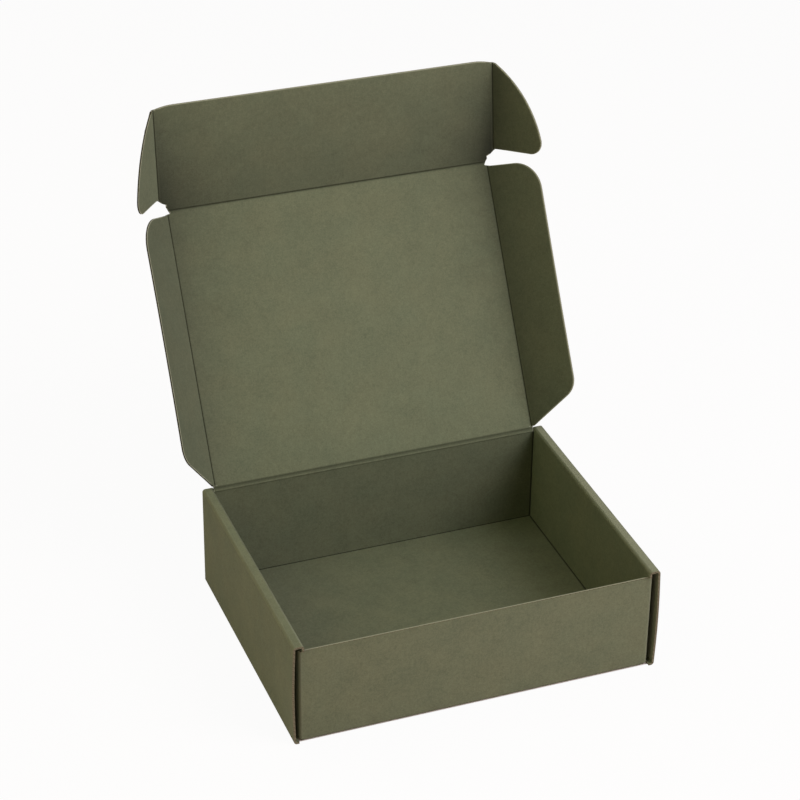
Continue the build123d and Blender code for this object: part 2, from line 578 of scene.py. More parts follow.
def finish_mesh(bm: bmesh.types.BMesh, name: str) -> bpy.types.Object:
    """Turns a finished bmesh into an object at the origin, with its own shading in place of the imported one.

    Args:
        bm: The mesh in the box's frame. It is freed.
        name: The piece's name.

    Returns:
        The new object, linked to the scene.
    """
    bmesh.ops.recalc_face_normals(bm, faces=bm.faces)
    mesh = bpy.data.meshes.new(name)
    bm.to_mesh(mesh)
    bm.free()
    packed_normals = mesh.attributes.get("custom_normal")
    if packed_normals:
        mesh.attributes.remove(packed_normals)
    mesh.set_sharp_from_angle(angle=SHARP_ANGLE)
    piece = bpy.data.objects.new(name, mesh)
    bpy.context.scene.collection.objects.link(piece)
    log.info("%s: %d faces", name, len(mesh.polygons))
    return piece


class SheetMesh:
    """The mesh of a stretch of the sheet, with the maps that the finishes read.

    Attributes:
        bm: The mesh in the making.
        top: The vertices of its inside face, once it has the board's thickness.
        score: The map of painted shade in the creases' grooves and the tray's inner folds and corners.
        wear: The map of rubbed ink on the cut edges and the tray's folds, and of painted highlights on the
            folds and the right roll.
        ink: The map of painted light and shade: the colour made lighter or darker by place.
        flutes: The map of the flutes' places.
    """

    def __init__(self, node: str = "") -> None:
        """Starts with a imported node's mesh, its doubled vertices merged, or with none.

        Args:
            node: The node's name.
        """
        self.bm = bmesh.new()
        if node:
            self.bm.from_mesh(frame["nodes"][node].data)
        self.top: set[bmesh.types.BMVert] = set()
        for name in (PAINTED_SHADE, WEAR_AND_HIGHLIGHT, PAINTED_LIGHT_AND_SHADE):
            self.bm.verts.layers.float.new(name)
        self.score, self.wear, self.ink = (self.bm.verts.layers.float[name] for name in (PAINTED_SHADE, WEAR_AND_HIGHLIGHT, PAINTED_LIGHT_AND_SHADE))
        self.flutes = self.bm.loops.layers.uv.new(FLUTE_MAP)
        bmesh.ops.remove_doubles(self.bm, verts=self.bm.verts, dist=MERGE_DISTANCE)

    def cut(
        self, axis: int, at: float, faces: list[bmesh.types.BMFace] | None = None, keep: int = 0
    ) -> None:
        """Cuts faces along a plane square to an axis.

        Args:
            axis: The axis' number.
            at: The plane's place on it.
            faces: The faces to cut. All of them where it is left out.
            keep: -1 keeps what lies below that place, 1 what lies above it and 0 both.
        """
        point, normal = Vector(), Vector()
        point[axis] = at
        normal[axis] = -1 if keep > 0 else 1
        faces = self.bm.faces[:] if faces is None else faces
        geom = list({v for f in faces for v in f.verts}) + list({e for f in faces for e in f.edges}) + faces
        bmesh.ops.bisect_plane(
            self.bm, geom=geom, plane_co=point, plane_no=normal, clear_outer=bool(keep)
        )

    def faces_in_plane(self, axis: int, at: float) -> list[bmesh.types.BMFace]:
        """The faces that lie in a plane square to an axis."""
        return [f for f in self.bm.faces if all(abs(v.co[axis] - at) < PLANE_DISTANCE for v in f.verts)]

    def keep_only(self, kept: list[bmesh.types.BMFace]) -> None:
        """Deletes all faces but some."""
        bmesh.ops.delete(self.bm, geom=list(set(self.bm.faces).difference(kept)), context="FACES")

    def double(self) -> None:
        """Doubles the flat face into a bottom and a top with cut edges between them."""
        doubled = bmesh.ops.extrude_face_region(self.bm, geom=self.bm.faces[:])["geom"]
        self.top = {v for v in doubled if isinstance(v, bmesh.types.BMVert)}

    def mark(
        self, face: bmesh.types.BMFace, cut: bool, smooth: bool, places: list[tuple[float, float]]
    ) -> None:
        """Gives a face its finish, its shading and its flutes' places.

        Args:
            face: The face.
            cut: True for a cut edge.
            smooth: True for a part of a curved surface.
            places: For each corner, its place across the flutes in metres and its depth in the sheet.
        """
        face.smooth = smooth
        face.material_index = (Face.CUT_EDGE if cut else Face.LINER).value
        for loop, (across, depth) in zip(face.loops, places):
            loop[self.flutes].uv = (across / SHEET.flute_pitch, depth)


@dataclass(frozen=True)
class Trim:
    """A straight line where a panel ends at a crease and a crease strip takes over.

    Attributes:
        axis: 0 where the line stands at one place across the panel, 1 where it stands along it.
        at: The line's place on that axis.
        keep: -1 keeps the panel below that place, 1 above it.
    """

    axis: int
    at: float
    keep: int


@dataclass(frozen=True)
class InkSpread:
    """Painted light and shade on a panel: how much lighter or darker its colour is painted by place, as a
    share of the colour.

    Attributes:
        middle: The share away from the creases, half way along the panel.
        rise: What it gains from the near end of the panel to the far one.
        crease: What it loses right at a crease, as painted shade, at the near end and at the far one.
        side_shares: How much of that loss the right and the left crease have.
        reach: The distance from a crease at which about a third of that loss is left.
    """

    middle: float = 0.0
    rise: float = 0.0
    crease: tuple[float, float] = (0.0, 0.0)
    side_shares: tuple[float, float] = (1.0, 1.0)
    reach: float = 22.0 * MM

    def gain(self, along: float, distances: list[float]) -> float:
        """The painted light and shade at a point, as a share of the colour.

        Args:
            along: From 0 at the near end of the panel to 1 at the far one.
            distances: How far the point is from each side crease, the right one first.

        Returns:
            Above 0 where the colour is painted lighter and below 0 where it is painted darker.
        """
        loss = self.crease[0] + (self.crease[1] - self.crease[0]) * along
        sides = zip(self.side_shares, distances)
        nearness = sum(share * math.exp(-distance / self.reach) for share, distance in sides)
        return self.middle + self.rise * (along - 0.5) - loss * nearness


@dataclass
class FlatPanel:
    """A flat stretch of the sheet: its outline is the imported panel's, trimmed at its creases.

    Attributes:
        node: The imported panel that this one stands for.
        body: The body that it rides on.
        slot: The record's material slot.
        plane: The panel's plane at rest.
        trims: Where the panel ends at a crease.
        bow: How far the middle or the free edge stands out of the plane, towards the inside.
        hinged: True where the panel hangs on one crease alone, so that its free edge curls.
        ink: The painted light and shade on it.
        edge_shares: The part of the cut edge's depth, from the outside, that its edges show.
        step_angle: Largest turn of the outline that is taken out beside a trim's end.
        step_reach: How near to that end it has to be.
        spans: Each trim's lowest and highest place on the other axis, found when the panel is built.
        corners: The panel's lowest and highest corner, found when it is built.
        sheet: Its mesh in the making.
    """

    node: str
    body: str
    slot: str
    plane: PanelPlane
    trims: tuple[Trim, ...]
    bow: float = 0.0
    hinged: bool = False
    ink: InkSpread = InkSpread()
    edge_shares: tuple[float, float] = (0.5, 1.0)
    step_angle: float = math.radians(40)
    step_reach: float = 2.4 * MM
    spans: list[tuple[float, float]] = field(default_factory=list)
    corners: tuple[Vector, Vector] = (Vector(), Vector())
    sheet: SheetMesh = field(init=False)

    def build(self, board: Board) -> None:
        """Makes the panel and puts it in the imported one's place.

        Args:
            board: The sheet's finishes.
        """
        self.sheet = SheetMesh(self.node)
        bm = self.sheet.bm
        bm.transform(self.plane.matrix.inverted())
        self.keep_inside_face()
        self.trim()
        flat = bm.faces[:]
        for width in (SHEET.rim, SHEET.rim_root):
            bmesh.ops.inset_region(bm, faces=flat, thickness=width, use_boundary=True, use_even_offset=True)
        self.divide()
        self.thicken()
        self.mark()
        self.bend()
        bm.transform(self.plane.matrix)
        piece = board.cover(bm, self.node + "_board", self.slot)
        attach(piece, self.body)
        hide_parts(self.node)

    def keep_inside_face(self) -> None:
        """Leaves only the panel's inside face, as one flat face in its middle plane."""
        bm = self.sheet.bm
        bm.normal_update()
        self.sheet.keep_only([f for f in self.sheet.faces_in_plane(2, SHEET.half) if f.normal.z > SQUARELY])
        bmesh.ops.dissolve_faces(bm, faces=bm.faces, use_verts=False)
        for vertex in bm.verts:
            vertex.co.z = 0

    def trim(self) -> None:
        """Cuts the panel off at its creases, without the slivers left, and notes how far each cut reaches."""
        bm = self.sheet.bm
        for line in self.trims:
            self.sheet.cut(line.axis, line.at, keep=line.keep)
        self.sheet.keep_only([max(bm.faces, key=bmesh.types.BMFace.calc_area)])
        for line in self.trims:
            places = [v.co[1 - line.axis] for v in bm.verts if self.lies_on(v.co, line)]
            self.spans.append((min(places), max(places)))
        self.ease_corners()

    def ease_corners(self) -> None:
        """Takes out the outline's short steps beside a trim's ends, over which a pressed edge would fold."""
        bm = self.sheet.bm
        on_trim = {v for v in bm.verts if self.at_crease(v)}
        steps = [
            v for v in bm.verts
            if v not in on_trim
            and v.calc_edge_angle(math.pi) < self.step_angle
            and any((v.co - end.co).length < self.step_reach for end in on_trim)
        ]
        bmesh.ops.dissolve_verts(bm, verts=steps)

    @staticmethod
    def lies_on(point: Vector, line: Trim) -> bool:
        """True where a point of the panel lies on a trim line."""
        return abs(point[line.axis] - line.at) < LINE_DISTANCE

    def at_crease(self, vertex: bmesh.types.BMVert) -> bool:
        """True where a vertex lies on one of the trim lines."""
        return any(self.lies_on(vertex.co, line) for line in self.trims)

    def divide(self) -> None:
        """Cuts the flat face into cells, so that it can bow."""
        for axis in (0, 1):
            low, high = (corner[axis] for corner in self.bounds())
            count = max(1, round((high - low) / SHEET.cell))
            for i in range(1, count):
                self.sheet.cut(axis, low + i * (high - low) / count)

    def thicken(self) -> None:
        """Gives the face the board's thickness, with its cut edges pressed down and worn."""
        bm, wear = self.sheet.bm, self.sheet.wear
        for vertex in bm.verts:
            vertex[wear] = float(vertex.is_boundary and not self.at_crease(vertex))
        self.sheet.double()
        for vertex in bm.verts:
            side = 1 if vertex in self.sheet.top else -1
            vertex.co.z = side * (SHEET.half - SHEET.rim_drop * vertex[wear])

    def mark(self) -> None:
        """Gives the faces their finishes and flute places."""
        self.sheet.bm.normal_update()
        sign = math.copysign(1, self.plane.across.x)
        for face in self.sheet.bm.faces:
            cut = abs(face.normal.z) < MOSTLY
            corners = [v.co for v in face.verts]
            places = [(self.plane.origin.x + sign * c.x, self.edge_shares[c.z > 0]) for c in corners]
            self.sheet.mark(face, cut, True, places)

    def bend(self) -> None:
        """Bows the panel a little, as board does that has been folded and opened, and spreads its painted
        light and shade.
        """
        self.corners = self.bounds()
        for vertex in self.sheet.bm.verts:
            across, along = (self.share(vertex.co, axis) for axis in (0, 1))
            free = across**2 if self.hinged else math.sin(math.pi * across)
            vertex.co.z += self.bow * free * math.sin(math.pi * along)
            vertex[self.sheet.ink] = self.ink_share(vertex.co)

    def share(self, place: Vector, axis: int) -> float:
        """How far a place lies from the panel's lowest corner to its highest, from 0 to 1."""
        low, high = (corner[axis] for corner in self.corners)
        return (place[axis] - low) / (high - low)

    def ink_share(self, place: Vector) -> float:
        """How much lighter or darker the colour is painted at a place of the panel, as painted light and
        shade.
        """
        along = min(max(self.share(place, 1), 0), 1)
        return self.ink.gain(along, [abs(place.x - t.at) for t in self.trims if t.axis == 0])

    def bounds(self) -> tuple[Vector, Vector]:
        """The mesh's lowest and highest corner."""
        columns = list(zip(*(v.co for v in self.sheet.bm.verts)))
        return Vector(map(min, columns)), Vector(map(max, columns))


@dataclass
class Crease:
    """A strip of the sheet that bends where two bodies meet, with the score pressed into it.

    Attributes:
        name: The piece's name.
        bodies: The two bodies that it joins.
        slot: The record's material slot.
        origin: A point on the crease's axis.
        axis: The crease's direction.
        travel: The direction across the crease, away from the first panel.
        inside: The direction that the first panel's inside face looks in.
        fold: How far the second panel is folded towards the inside, in degrees.
        first: Where the strip starts and ends along the crease at the first panel.
        second: The same at the second panel.
        reach: How far the strip goes into the first and the second panel.
        half_bend: Half the length of board that takes the bend.
        groove: Depth of the score on the inside.
        ridge: Height of the bead that the score raises on the outside.
        groove_width: The distance from its middle at which about a third of its depth is left.
        groove_at: Where the groove lies, from the crease towards the second panel.
        ridge_share: How wide the bead on the outside is, as a share of the groove's width.
        dark_share: How wide the painted shade line in the groove is, as a share of the groove's width.
        dark: How dark the painted shade in the groove is. Above 1, the dark line is wider.
        bead: Height of a bead on the inside, on the first panel's side of the groove.
        bead_at: Where that bead lies, from the crease towards the second panel.
        bead_width: The distance from its top at which about a third of its height is left.
        skirt: How far the strip overlaps the first panel beyond its reach.
        across_count: Cells across the strip.
        step: Size of the cells along it.
        cells: How many cells there are along it, at first the least. Set when the strip is built.
        panels: The panels on either side, whose painted light and shade it carries on. None is the tray's
            back wall.
        sheet: Its mesh in the making.
    """

    name: str
    bodies: tuple[str, str]
    slot: str
    origin: Vector
    axis: Vector
    travel: Vector
    inside: Vector
    fold: float
    first: tuple[float, float]
    second: tuple[float, float]
    reach: tuple[float, float] = (CREASE_REACH, CREASE_REACH)
    half_bend: float = 0.8 * MM
    groove: float = 0.3 * MM
    ridge: float = 0.12 * MM
    groove_width: float = 0.48 * MM
    groove_at: float = 0.0
    ridge_share: float = 2.0
    dark_share: float = 1.6
    dark: float = 1.0
    bead: float = 0.0
    bead_at: float = -1.5 * MM
    bead_width: float = 0.55 * MM
    skirt: float = 0.0
    across_count: int = 28
    step: float = 6.0 * MM
    cells: int = 4
    panels: tuple[FlatPanel | None, FlatPanel | None] = (None, None)
    sheet: SheetMesh = field(init=False)

    def build(self, board: Board) -> None:
        """Makes the strip, blended between its two bodies.

        Args:
            board: The sheet's finishes.
        """
        self.sheet = SheetMesh()
        bm = self.sheet.bm
        length = max(self.first[1], self.second[1]) - min(self.first[0], self.second[0])
        self.cells = max(self.cells, round(length / self.step))
        bmesh.ops.create_grid(bm, x_segments=self.across_count, y_segments=self.cells, size=1)
        self.sheet.double()
        self.mark()
        for vertex in bm.verts:
            share = (vertex.co.x + 1) / 2
            vertex.co = self.place(vertex.co.x, vertex.co.y, 1 if vertex in self.sheet.top else -1)
            vertex[self.sheet.ink] = self.ink_share(vertex.co, share)
        piece = board.cover(bm, self.name, self.slot)
        start = self.origin - self.travel * self.half_bend
        end = self.origin + self.turned(self.fold) * self.half_bend
        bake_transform(piece, *self.bodies, start=start, end=end)

    def ink_share(self, point: Vector, share: float) -> float:
        """How much lighter or darker the colour is painted at a point, for a share from 0 at the first panel
        to 1.
        """
        first, second = (p.ink_share(p.plane.matrix.inverted() @ point) if p else 0.0 for p in self.panels)
        return first + (second - first) * share

    def turned(self, angle: float) -> Vector:
        """The direction across the crease once it has turned by an angle towards the inside."""
        return turned(self.travel, self.inside, angle)

    def across_place(self, share: float) -> float:
        """The place across the strip in metres for a share from -1 to 1, 0 being the crease."""
        low = -self.reach[0] - self.skirt
        return low + (share + 1) / 2 * (self.reach[1] - low)

    def relief(self, place: float, side: int) -> float:
        """How far the score and its beads move the surface away from the middle of the board.

        Args:
            place: The place across the strip, from the crease.
            side: 1 on the inside and -1 on the outside.

        Returns:
            The move in metres.
        """
        if side < 0:
            return self.ridge * bell(place, 0, self.ridge_share * self.groove_width)
        crown = self.bead * bell(place, self.bead_at, self.bead_width)
        return crown - self.groove * bell(place, self.groove_at, self.groove_width)

    def place(self, share_across: float, share_along: float, side: int) -> Vector:
        """Where a point of the flat strip lies in the bent one.

        Args:
            share_across: From -1 at the first panel to 1 at the second.
            share_along: From -1 at the strip's start to 1 at its end.
            side: 1 on the inside and -1 on the outside.

        Returns:
            The point in the box's frame.
        """
        place = self.across_place(share_across)
        along = self.along_place(share_across, share_along)
        pressed = SHEET.rim_drop if self.at_cut(share_along) else 0
        lift = side * (SHEET.half + self.relief(place, side) - pressed)
        return self.origin + self.axis * along + self.bent(place, lift)

    @staticmethod
    def at_cut(share_along: float) -> bool:
        """True at the strip's ends, where the sheet was cut."""
        return abs(share_along) > STRIP_END

    def along_place(self, share_across: float, share_along: float) -> float:
        """The place along the crease in metres for a share from -1 to 1, between the strip's slanted ends.

        The last cell at each end is as long as the band that the cutting die presses down.

        Args:
            share_across: From -1 at the first panel to 1 at the second.
            share_along: From -1 at the strip's start to 1 at its end.

        Returns:
            The place on the crease's axis.
        """
        blend = (share_across + 1) / 2
        start = self.first[0] + (self.second[0] - self.first[0]) * blend
        end = self.first[1] + (self.second[1] - self.first[1]) * blend
        if self.at_cut(share_along):
            return end if share_along > 0 else start
        inner_share = share_along / (1 - 2 / self.cells)
        return (start + end) / 2 + ((end - start) / 2 - SHEET.rim) * inner_share

    def bent(self, place: float, lift: float) -> Vector:
        """The bend's cross-section: flat, round over the bend, and flat again.

        Args:
            place: The place across the flat strip, from the crease.
            lift: The height above the board's middle, towards the inside.

        Returns:
            The point's place from the crease's axis.
        """
        share = min(max((place + self.half_bend) / (2 * self.half_bend), 0), 1)
        normal = self.turned(self.fold * share + 90)
        if share in (0, 1):
            return self.turned(self.fold * share) * place + normal * lift
        radius = self.half_bend / math.tan(math.radians(self.fold / 2))
        centre = self.inside * radius - self.travel * self.half_bend
        return centre - normal * (radius - lift)

    def mark(self) -> None:
        """Gives the faces their finishes and flute places, and the groove its painted shade."""
        sheet = self.sheet
        for vertex in sheet.bm.verts:
            place = self.across_place(vertex.co.x)
            # Painted shade along the groove, on the inside face only.
            dark = self.dark * bell(place, self.groove_at, self.dark_share * self.groove_width)
            vertex[sheet.score] = dark if vertex in sheet.top else 0.0
            vertex[sheet.wear] = float(self.at_cut(vertex.co.y))
        for face in sheet.bm.faces:
            depths = [float(v in sheet.top) for v in face.verts]
            places = [(self.sheet_place(v.co), depth) for v, depth in zip(face.verts, depths)]
            sheet.mark(face, 0 < sum(depths) < len(depths), True, places)

    def sheet_place(self, shares: Vector) -> float:
        """The place on the flat sheet, from its middle line to the right, that the flutes are counted by.

        Args:
            shares: From -1 to 1 across and along the strip.

        Returns:
            The place in metres.
        """
        if abs(self.axis.x) > MOSTLY:
            return self.along_place(shares.x, shares.y)
        return self.origin.x + math.copysign(1, self.travel.x) * self.across_place(shares.x)


@dataclass
class Tray:
    """The folded tray: base, walls, rolled sides, corner flaps and tabs, all one stretch of the sheet.

    Attributes:
        low: The tray's lowest corner.
        high: Its highest corner.
        roll_width: Width of the flat roll along each side wall.
        front_set_back: How far the front wall stands behind the side walls' front ends.
        flat_angle: Largest angle between faces that are merged into one.
        cut_width: Widest that a face may be and still be a cut edge.
        front_end_shares: The part of the cut edge's depth that the side walls' front ends show.
        top_edge_shares: The part of it that the front wall's top edge and the other cuts show.
        fold_reach: How far the inside of a fold at the base reaches from its corner.
        fold_margin: How far from that fold's two ends it counts as round.
        fold_skew: The largest share along X that the normal of such a fold has.
        corner_reach: Width of the painted shade line on the base and the back wall beside the inner side
            panels.
        panel_reach: Its width on the inner side panels themselves.
        corner_dark: How dark that painted shade is in the corner. Above 1, the darkest part is wider.
        fold_dark: How dark the painted shade is in the folds at the base's front and back.
        fold_wear: How far the folds' outsides take the rubbed colour, from 0 to 1: rubbed ink, and partly a
            painted highlight along the bends.
        right_roll_wear: A painted highlight on top of the right roll, in the rubbed colour, from 0 to 1.
        roll_ink: How much lighter the top of the rolls is painted, as a painted highlight, as a share of the
            ink's colour.
        inner_ink: The same painted light on the inner side panels.
        front_ink: The same painted light on the front wall.
        bulge: How far the outer side panels stand out at the front, where only the roll holds them.
        bulge_length: How far back that bulge reaches.
        bulge_cuts: Cuts across the side panels that let them bulge.
        roll_inner: How far from the middle line the rolls and the inner side panels start.
        back_inside: Where the back wall's inside stands.
        front_face: Where the front wall's outside stands.
        sheet: Its mesh in the making.
    """

    low: Vector
    high: Vector
    roll_width: float = 7.0 * MM
    front_set_back: float = 1.7 * MM
    flat_angle: float = math.radians(0.5)
    cut_width: float = 1.6 * MM
    front_end_shares: tuple[float, float] = (0.52, 0.68)
    top_edge_shares: tuple[float, float] = (0.45, 1.0)
    fold_reach: float = 0.6 * MM
    fold_margin: float = 0.02 * MM
    fold_skew: float = 0.5
    corner_reach: float = 1.2 * MM
    panel_reach: float = 0.5 * MM
    corner_dark: float = 1.7
    fold_dark: float = 1.1
    fold_wear: float = 0.26
    right_roll_wear: float = 0.34
    roll_ink: float = 0.18
    inner_ink: float = 0.08
    front_ink: float = 0.13
    bulge: float = 0.9 * MM
    bulge_length: float = 60.0 * MM
    bulge_cuts: int = 8
    roll_inner: float = field(init=False)
    back_inside: float = field(init=False)
    front_face: float = field(init=False)
    sheet: SheetMesh = field(init=False)

    def __post_init__(self) -> None:
        """Works out the planes that its inside is measured from."""
        self.roll_inner = self.high.x - self.roll_width
        self.back_inside = self.high.y - SHEET.thickness
        self.front_face = self.low.y + self.front_set_back

    def build(self, board: Board) -> None:
        """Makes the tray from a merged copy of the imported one.

        Args:
            board: The sheet's finishes.
        """
        self.sheet = SheetMesh("tray")
        bm = self.sheet.bm
        bmesh.ops.dissolve_limit(bm, angle_limit=self.flat_angle, verts=bm.verts, edges=bm.edges)
        self.mark()
        self.cut_corners()
        self.spread_ink()
        self.bow_sides()
        piece = board.cover(bm, "tray_board", "board_tray")
        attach(piece, "tray")
        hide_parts("tray")

    def mark(self) -> None:
        """Gives the faces their finishes and flute places."""
        self.sheet.bm.normal_update()
        for face in self.sheet.bm.faces:
            width = 2 * face.calc_area() / face.calc_perimeter()
            facing = max(map(abs, face.normal))
            cut = facing > SQUARELY and SHEET.half < width < self.cut_width
            places = [self.flute_place(v.co, face.normal, cut) for v in face.verts]
            self.sheet.mark(face, cut, facing < EXACTLY, places)

    def flute_place(self, place: Vector, normal: Vector, cut: bool) -> tuple[float, float]:
        """Where a point lies in the fluted sheet.

        Args:
            place: The point.
            normal: The direction of its face.
            cut: True on a cut edge.

        Returns:
            The place across the flutes in metres, and the depth between the sheet's two faces.
        """
        across = place.z if abs(normal.x) > MOSTLY else place.x
        if not cut:
            return across, 0.5
        out = abs(place.x)
        front_end = abs(normal.y) > MOSTLY
        if front_end:
            across = place.x + place.z
            depth = min(self.high.x - out, self.high.z - place.z, max(out - self.roll_inner, 0))
        elif place.z > self.high.z / 2:
            depth = min(place.y - self.front_face, self.high.y - place.y, self.high.x - out)
        else:
            depth = place.z
        share = min(max(depth / SHEET.thickness, 0), 1)
        least, most = self.front_end_shares if front_end else self.top_edge_shares
        return across, least + (most - least) * share

    def spread_ink(self) -> None:
        """Paints shade into the base folds and the inner corners, lighter colour onto the rolls, the inner
        side panels and the front wall, and gives the wear map.
        """
        sheet = self.sheet
        for vertex in sheet.bm.verts:
            fold = self.fold_dark if self.in_base_fold(vertex) else 0.0
            vertex[sheet.score] = max(fold, self.corner_shade(vertex.co))
            vertex[sheet.ink] = self.ink_share(vertex.co)
            vertex[sheet.wear] = self.wear_share(vertex) if not fold else 0.0

    def wear_share(self, vertex: bmesh.types.BMVert) -> float:
        """How far the colour turns to the rubbed one: rubbed ink with a painted highlight on the folds'
        outsides, and a painted highlight on top of the right roll.

        Args:
            vertex: The vertex that is asked for.

        Returns:
            From 0 to 1.
        """
        top = self.high.z - vertex.co.z < PLANE_DISTANCE
        if top and vertex.co.x > self.roll_inner:
            return self.right_roll_wear
        return self.fold_wear if self.on_fold(vertex) else 0.0

    @staticmethod
    def on_fold(vertex: bmesh.types.BMVert) -> bool:
        """True inside a fold, where no flat panel touches the vertex."""
        faces = [f for f in vertex.link_faces if f.material_index == Face.LINER.value]
        return bool(faces) and all(f.smooth for f in faces)

    def ink_share(self, place: Vector) -> float:
        """How much lighter the colour is painted, as painted light: on the rolls, the inner side panels and
        the front wall.

        Args:
            place: The point that is asked for.

        Returns:
            A share of the ink's colour.
        """
        out = abs(place.x)
        if self.high.z - place.z < PLANE_DISTANCE and out > self.roll_inner:
            return self.roll_ink
        if abs(out - self.roll_inner) < PLANE_DISTANCE:
            return self.inner_ink
        return self.front_ink if place.y < self.front_face + PLANE_DISTANCE else 0.0

    def corner_shade(self, place: Vector) -> float:
        """How dark the painted shade is in the corner where an inner side panel meets the base or the back
        wall.

        Args:
            place: The point that is asked for.

        Returns:
            0 away from the corner, and more in it.
        """
        from_panel = self.roll_inner - abs(place.x)
        from_fold = min(self.back_inside - place.y, place.z - SHEET.thickness)
        if min(from_panel, from_fold) < -PLANE_DISTANCE:
            return 0.0
        if from_panel < PLANE_DISTANCE:
            aside = from_fold / self.panel_reach
        elif from_fold < PLANE_DISTANCE:
            aside = from_panel / self.corner_reach
        else:
            return 0.0
        return self.corner_dark * max(1 - aside, 0)

    def cut_corners(self) -> None:
        """Cuts a narrow band off the faces beside the inner corners, which holds their shade."""
        inner, reach = self.roll_inner, self.corner_reach
        beside = [(0, side * place) for side in (1, -1) for place in (inner, inner - reach)]
        panel_lines = ((1, self.back_inside - self.panel_reach), (2, SHEET.thickness + self.panel_reach))
        bands = (
            (2, SHEET.thickness, *beside),
            (1, self.back_inside, *beside),
            (0, inner, *panel_lines),
            (0, -inner, *panel_lines),
        )
        for face_axis, face_at, *lines in bands:
            for axis, at in lines:
                self.sheet.cut(axis, at, self.sheet.faces_in_plane(face_axis, face_at))

    def in_base_fold(self, vertex: bmesh.types.BMVert) -> bool:
        """Tells the rounding between the base and the front or back wall.

        Args:
            vertex: The vertex that is asked for.

        Returns:
            True inside the rounding.
        """
        place = vertex.co
        front_inside = self.front_face + SHEET.thickness
        inset = min(self.back_inside - place.y, place.y - front_inside)
        rise = place.z - SHEET.thickness
        rounded = any(f.smooth and abs(f.normal.x) < self.fold_skew for f in vertex.link_faces)
        ends = (self.fold_margin, self.fold_reach - self.fold_margin)
        return rounded and all(ends[0] < away < ends[1] for away in (inset, rise))

    def bow_sides(self) -> None:
        """Lets the outer side panels stand out a little towards the front corners."""
        bm = self.sheet.bm
        outer_inside = self.high.x - SHEET.thickness - PLANE_DISTANCE
        for i in range(1, self.bulge_cuts):
            share = i / self.bulge_cuts
            for axis, at in ((2, self.high.z * share), (1, self.low.y + self.bulge_length * share)):
                faces = [f for f in bm.faces if all(abs(v.co.x) > outer_inside for v in f.verts)]
                self.sheet.cut(axis, at, faces)
        for vertex in bm.verts:
            if abs(vertex.co.x) > outer_inside:
                height = math.sin(math.pi * min(max(vertex.co.z / self.high.z, 0), 1))
                reach = min((vertex.co.y - self.low.y) / self.bulge_length, 1)
                vertex.co.x += math.copysign(self.bulge * height * (1 - reach) ** 2, vertex.co.x)


@dataclass(frozen=True)
class SideFlaps:
    """The two small panels on a big one's side edges: the wings on the lid or the ears on the front flap.

    Attributes:
        kind: The word that their names end in.
        bow: How far their free edges curl in.
        inks: The painted light and shade on the left and on the right one.
        dark: How dark the painted shade is in their creases.
    """

    kind: str
    bow: float
    inks: tuple[InkSpread, InkSpread]
    dark: float = 1.0

    def trims(self) -> tuple[Trim, Trim]:
        """Where the big panel ends at its side creases, the right one first."""
        at = joint(f"right_{self.kind}_hinge")["pos_m"][0] - CREASE_REACH
        return Trim(0, at, -1), Trim(0, -at, 1)

    def build(self, board: Board, panel: FlatPanel) -> None:
        """Makes both flaps and their creases.

        Args:
            board: The sheet's finishes.
            panel: The big panel, whose last two trims are at these creases.
        """
        for side, span in zip((Side.RIGHT, Side.LEFT), panel.spans[-2:]):
            self.build_one(board, panel, side, span)

    def build_one(self, board: Board, panel: FlatPanel, side: Side, span: tuple[float, float]) -> None:
        """Makes one flap and its crease.

        Args:
            board: The sheet's finishes.
            panel: The big panel.
            side: Which flap.
            span: Where the big panel's edge beside the crease starts and ends.
        """
        name = f"{side.word}_{self.kind}"
        slot = "board_" + self.kind
        hinge = joint(name + "_hinge")
        fold = -hinge["range_deg"][0]
        travel = ACROSS * side.value
        inside = panel.plane.inside
        along = panel.plane.along * side.value
        plane = PanelPlane(Vector(hinge["pos_m"]), turned(travel, inside, fold), along)
        # The left flaps' cut edges show mostly the painted shade band and the right ones only the pale part:
        # painted shade and painted light by side.
        edge = SHADED_EDGE_SHARES if side is Side.LEFT else LIT_EDGE_SHARES
        ink = self.inks[side is Side.RIGHT]
        flap = FlatPanel(name, name, slot, plane, (Trim(0, CREASE_REACH, 1),), self.bow, True, ink, edge)
        flap.build(board)
        first = tuple(sorted(side.value * place for place in span))
        Crease(
            name + "_crease", (panel.body, name), slot, plane.origin, plane.along, travel, inside, fold,
            first, flap.spans[0], dark=self.dark, panels=(panel, flap)
        ).build(board)


